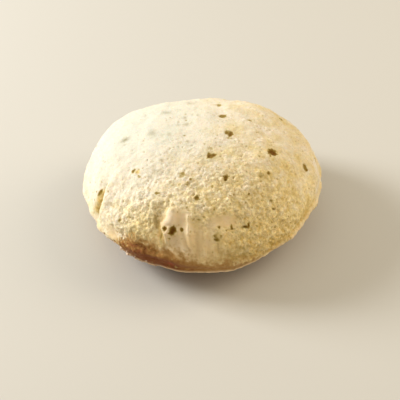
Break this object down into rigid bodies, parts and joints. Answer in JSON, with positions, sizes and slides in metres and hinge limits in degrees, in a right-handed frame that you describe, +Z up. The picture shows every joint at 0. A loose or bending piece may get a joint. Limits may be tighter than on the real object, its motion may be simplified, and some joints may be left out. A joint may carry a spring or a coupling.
{
  "type": "chapati",
  "caption": "Puffed round wheat flatbread, a closed pillow with a pinched seam, a side pleat, a gathered front and scorch marks.",
  "frame": {"origin": "on the surface the bread lies on, below the middle of its box", "axes": "+Z up through the crown, +X to the right across the bread's widest way, and -Y towards the gathered front"},
  "size_m": [0.1776, 0.172, 0.0783],
  "materials": {
    "dough": "dry baked wheat skin, pale cream with tan mottling and brown scorch marks"
  },
  "bodies": {
    "root": {"chapati": "dough"}
  },
  "joints": []
}
